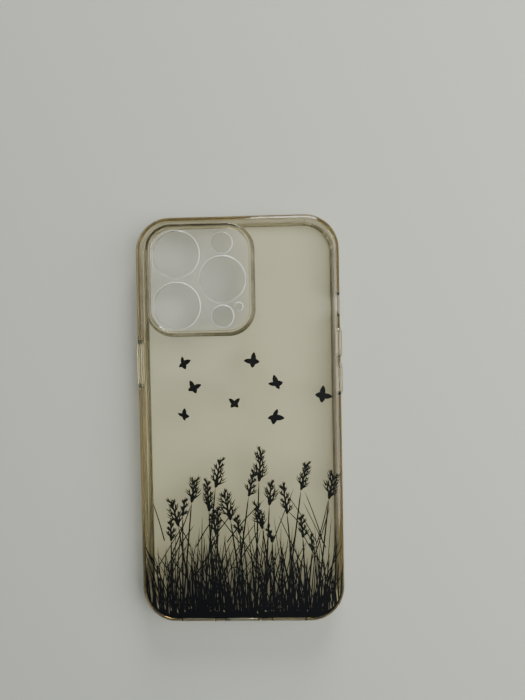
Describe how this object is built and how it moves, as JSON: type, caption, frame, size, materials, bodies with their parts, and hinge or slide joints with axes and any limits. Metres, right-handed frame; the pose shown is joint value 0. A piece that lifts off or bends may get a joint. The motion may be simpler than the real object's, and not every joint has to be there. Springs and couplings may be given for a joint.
{
  "type": "phone case",
  "caption": "Clear flexible phone case with a raised camera guard, lens holes, sprung key covers, port cutouts and a printed meadow with butterflies on the back.",
  "frame": {"origin": "under the middle of the plan, on the plane of the front lip that the case lies on", "axes": "+Z is the outward normal of the back, +Y points to the camera end, +X points to the volume keys' wall"},
  "size_m": [0.0768, 0.1506, 0.0131],
  "materials": {
    "clear_back": "clear, lightly yellowed, glossy",
    "clear_bumper": "clear soft polyurethane, yellowed to amber at its edges",
    "clear_guard": "clear soft polyurethane, yellowed",
    "clear_lens_plate": "clear, lightly yellowed, glossy",
    "clear_key_cover": "clear soft polyurethane, yellowed",
    "clear_key_web": "thin clear soft polyurethane",
    "ink": "opaque black printed ink, satin"
  },
  "bodies": {
    "shell": {"back_panel": "clear_back", "bumper_frame": "clear_bumper", "camera_guard": "clear_guard", "lens_plate": "clear_lens_plate", "power_key_web": "clear_key_web", "volume_up_web": "clear_key_web", "volume_down_web": "clear_key_web", "meadow_print": "ink", "butterfly_print_1": "ink", "butterfly_print_2": "ink", "butterfly_print_3": "ink", "butterfly_print_4": "ink", "butterfly_print_5": "ink", "butterfly_print_6": "ink", "butterfly_print_7": "ink", "butterfly_print_8": "ink"},
    "power_key": {"power_key_cover": "clear_key_cover"},
    "volume_up_key": {"volume_up_cover": "clear_key_cover"},
    "volume_down_key": {"volume_down_cover": "clear_key_cover"}
  },
  "joints": [
    {"name": "power_key_press", "type": "slide", "parent": "shell", "child": "power_key", "axis": [1, 0, 0], "range_m": [0, 0.00045], "stiffness_N_per_m": 1500, "deforming": ["power_key_web"]},
    {"name": "volume_up_press", "type": "slide", "parent": "shell", "child": "volume_up_key", "axis": [-1, 0, 0], "range_m": [0, 0.00045], "stiffness_N_per_m": 1500, "deforming": ["volume_up_web"]},
    {"name": "volume_down_press", "type": "slide", "parent": "shell", "child": "volume_down_key", "axis": [-1, 0, 0], "range_m": [0, 0.00045], "stiffness_N_per_m": 1500, "deforming": ["volume_down_web"]}
  ]
}
